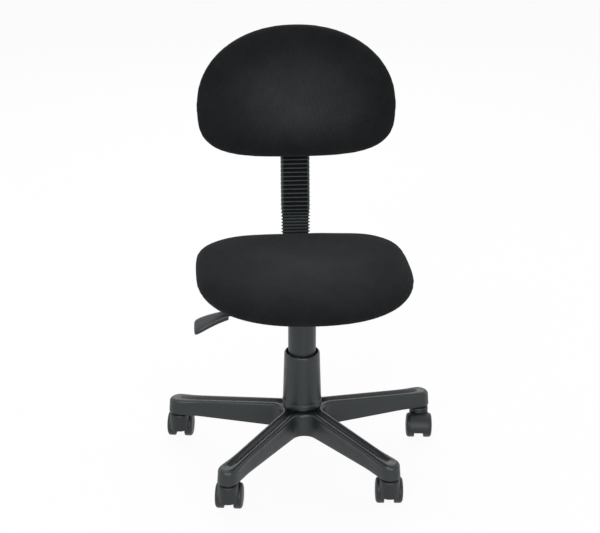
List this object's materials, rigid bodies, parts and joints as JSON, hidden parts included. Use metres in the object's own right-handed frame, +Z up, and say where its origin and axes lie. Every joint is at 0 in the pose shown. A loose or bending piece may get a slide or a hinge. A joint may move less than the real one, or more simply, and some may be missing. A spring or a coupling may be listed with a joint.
{
  "type": "typist chair",
  "caption": "Swivel typist chair with a padded seat and a small curved backrest on a ribbed upright, gas lift, and a moulded star base on twin-wheel casters.",
  "frame": {"origin": "on the floor under the column's axis", "axes": "+Z up, +Y to the chair's back so that it faces -Y, +X to the viewer's right when the viewer faces the chair"},
  "size_m": [0.5467, 0.528, 0.8329],
  "materials": {
    "nylon": "satin moulded",
    "black_steel": "satin powder coat",
    "bright_steel": "zinc plated",
    "bush_plastic": "natural",
    "rubber": "satin",
    "fabric": "fine weave",
    "plywood": "bare ply"
  },
  "bodies": {
    "base": {"base_star": "nylon", "column_tube": "black_steel", "guide_bush": "bush_plastic", "lower_cover": "nylon", "lower_race": "bright_steel", "caster_stem_1": "bright_steel", "caster_stem_2": "bright_steel", "caster_stem_3": "bright_steel", "caster_stem_4": "bright_steel", "caster_stem_5": "bright_steel"},
    "spindle": {"piston_rod": "bright_steel", "upper_race": "bright_steel", "bump_stop": "rubber", "retaining_clip": "black_steel"},
    "bearing": {"bearing_cage": "bush_plastic", "bearing_balls": "bright_steel"},
    "seat": {"gas_cylinder": "black_steel", "upper_cover": "nylon", "mechanism": "black_steel", "lever_pin": "bright_steel", "seat_bolts": "bright_steel", "t_nuts": "bright_steel", "dust_cloth": "fabric", "seat_board": "plywood", "seat_cushion": "fabric"},
    "button": {"release_button": "bright_steel"},
    "lever": {"lever_rod": "black_steel", "lever_paddle": "nylon"},
    "back_bar": {"back_bar": "black_steel", "bellows_boot": "rubber"},
    "backrest": {"back_bracket": "black_steel", "back_screws": "bright_steel", "back_board": "plywood", "back_cushion": "fabric"},
    "depth_pad": {"depth_pad": "bright_steel"},
    "depth_knob": {"depth_knob": "nylon"},
    "height_pad": {"height_pad": "bright_steel"},
    "height_knob": {"height_knob": "nylon"},
    "caster_1": {"caster_hood_1": "nylon", "caster_axle_1": "bright_steel"},
    "wheel_left_1": {"wheel_left_1": "nylon"},
    "wheel_right_1": {"wheel_right_1": "nylon"},
    "caster_2": {"caster_hood_2": "nylon", "caster_axle_2": "bright_steel"},
    "wheel_left_2": {"wheel_left_2": "nylon"},
    "wheel_right_2": {"wheel_right_2": "nylon"},
    "caster_3": {"caster_hood_3": "nylon", "caster_axle_3": "bright_steel"},
    "wheel_left_3": {"wheel_left_3": "nylon"},
    "wheel_right_3": {"wheel_right_3": "nylon"},
    "caster_4": {"caster_hood_4": "nylon", "caster_axle_4": "bright_steel"},
    "wheel_left_4": {"wheel_left_4": "nylon"},
    "wheel_right_4": {"wheel_right_4": "nylon"},
    "caster_5": {"caster_hood_5": "nylon", "caster_axle_5": "bright_steel"},
    "wheel_left_5": {"wheel_left_5": "nylon"},
    "wheel_right_5": {"wheel_right_5": "nylon"}
  },
  "joints": [
    {"name": "seat_swivel", "type": "hinge", "parent": "base", "child": "spindle", "pos_m": [0, 0, 0.06], "axis": [0, 0, 1], "continuous": true},
    {"name": "bearing_roll", "type": "hinge", "parent": "base", "child": "bearing", "pos_m": [0, 0, 0.066], "axis": [0, 0, 1], "continuous": true},
    {"name": "seat_height", "type": "slide", "parent": "spindle", "child": "seat", "axis": [0, 0, 1], "range_m": [0, 0.1]},
    {"name": "lever_lift", "type": "hinge", "parent": "seat", "child": "lever", "pos_m": [-0.036, 0, 0.3678], "axis": [0, 1, 0], "range_deg": [0, 5.5], "stiffness_Nm_per_rad": 1.2, "springref_deg": -20.05},
    {"name": "button_press", "type": "slide", "parent": "seat", "child": "button", "axis": [0, 0, -1], "range_m": [0, 0.0035]},
    {"name": "back_depth", "type": "slide", "parent": "seat", "child": "back_bar", "axis": [0, 1, 0], "range_m": [-0.018, 0.025]},
    {"name": "back_height", "type": "slide", "parent": "back_bar", "child": "backrest", "axis": [0, 0.1305, 0.9914], "range_m": [-0.02, 0.04], "deforming": ["bellows_boot"]},
    {"name": "depth_pad_travel", "type": "slide", "parent": "seat", "child": "depth_pad", "axis": [0, 0, -1], "range_m": [0, 0.0015]},
    {"name": "depth_knob_turn", "type": "hinge", "parent": "depth_pad", "child": "depth_knob", "pos_m": [0, 0.077, 0.3], "axis": [0, 0, -1], "range_deg": [0, 360]},
    {"name": "height_pad_travel", "type": "slide", "parent": "backrest", "child": "height_pad", "axis": [0, 0.9914, -0.1305], "range_m": [0, 0.0015]},
    {"name": "height_knob_turn", "type": "hinge", "parent": "height_pad", "child": "height_knob", "pos_m": [0, 0.24694, 0.65152], "axis": [0, 0.9914, -0.1305], "range_deg": [0, 360]},
    {"name": "caster_swivel_1", "type": "hinge", "parent": "base", "child": "caster_1", "pos_m": [-0.15282, -0.21034, 0.05], "axis": [0, 0, 1], "continuous": true},
    {"name": "spin_left_1", "type": "hinge", "parent": "caster_1", "child": "wheel_left_1", "pos_m": [-0.15018, -0.19153, 0.025], "axis": [0.9903, -0.1392, 0], "continuous": true},
    {"name": "spin_right_1", "type": "hinge", "parent": "caster_1", "child": "wheel_right_1", "pos_m": [-0.15018, -0.19153, 0.025], "axis": [0.9903, -0.1392, 0], "continuous": true},
    {"name": "caster_swivel_2", "type": "hinge", "parent": "base", "child": "caster_2", "pos_m": [0.15282, -0.21034, 0.05], "axis": [0, 0, 1], "continuous": true},
    {"name": "spin_left_2", "type": "hinge", "parent": "caster_2", "child": "wheel_left_2", "pos_m": [0.15415, -0.19139, 0.025], "axis": [0.9976, -0.0698, 0], "continuous": true},
    {"name": "spin_right_2", "type": "hinge", "parent": "caster_2", "child": "wheel_right_2", "pos_m": [0.15415, -0.19139, 0.025], "axis": [0.9976, -0.0698, 0], "continuous": true},
    {"name": "caster_swivel_3", "type": "hinge", "parent": "base", "child": "caster_3", "pos_m": [0.24727, 0.08034, 0.05], "axis": [0, 0, 1], "continuous": true},
    {"name": "spin_left_3", "type": "hinge", "parent": "caster_3", "child": "wheel_left_3", "pos_m": [0.24562, 0.06142, 0.025], "axis": [-0.9962, 0.0872, 0], "continuous": true},
    {"name": "spin_right_3", "type": "hinge", "parent": "caster_3", "child": "wheel_right_3", "pos_m": [0.24562, 0.06142, 0.025], "axis": [-0.9962, 0.0872, 0], "continuous": true},
    {"name": "caster_swivel_4", "type": "hinge", "parent": "base", "child": "caster_4", "pos_m": [0, 0.26, 0.05], "axis": [0, 0, 1], "continuous": true},
    {"name": "spin_left_4", "type": "hinge", "parent": "caster_4", "child": "wheel_left_4", "pos_m": [0.019, 0.26, 0.025], "axis": [0, -1, 0], "continuous": true},
    {"name": "spin_right_4", "type": "hinge", "parent": "caster_4", "child": "wheel_right_4", "pos_m": [0.019, 0.26, 0.025], "axis": [0, -1, 0], "continuous": true},
    {"name": "caster_swivel_5", "type": "hinge", "parent": "base", "child": "caster_5", "pos_m": [-0.24727, 0.08034, 0.05], "axis": [0, 0, 1], "continuous": true},
    {"name": "spin_left_5", "type": "hinge", "parent": "caster_5", "child": "wheel_left_5", "pos_m": [-0.24463, 0.09916, 0.025], "axis": [0.9903, -0.1392, 0], "continuous": true},
    {"name": "spin_right_5", "type": "hinge", "parent": "caster_5", "child": "wheel_right_5", "pos_m": [-0.24463, 0.09916, 0.025], "axis": [0.9903, -0.1392, 0], "continuous": true}
  ],
  "couplings": [
    {"joint": "bearing_roll", "follows": "seat_swivel", "ratio": 0.5},
    {"joint": "button_press", "follows": "lever_lift", "m_per_rad": 0.036},
    {"joint": "depth_knob_turn", "follows": "depth_pad_travel", "rad_per_m": 4188.8},
    {"joint": "height_knob_turn", "follows": "height_pad_travel", "rad_per_m": 4188.8}
  ]
}
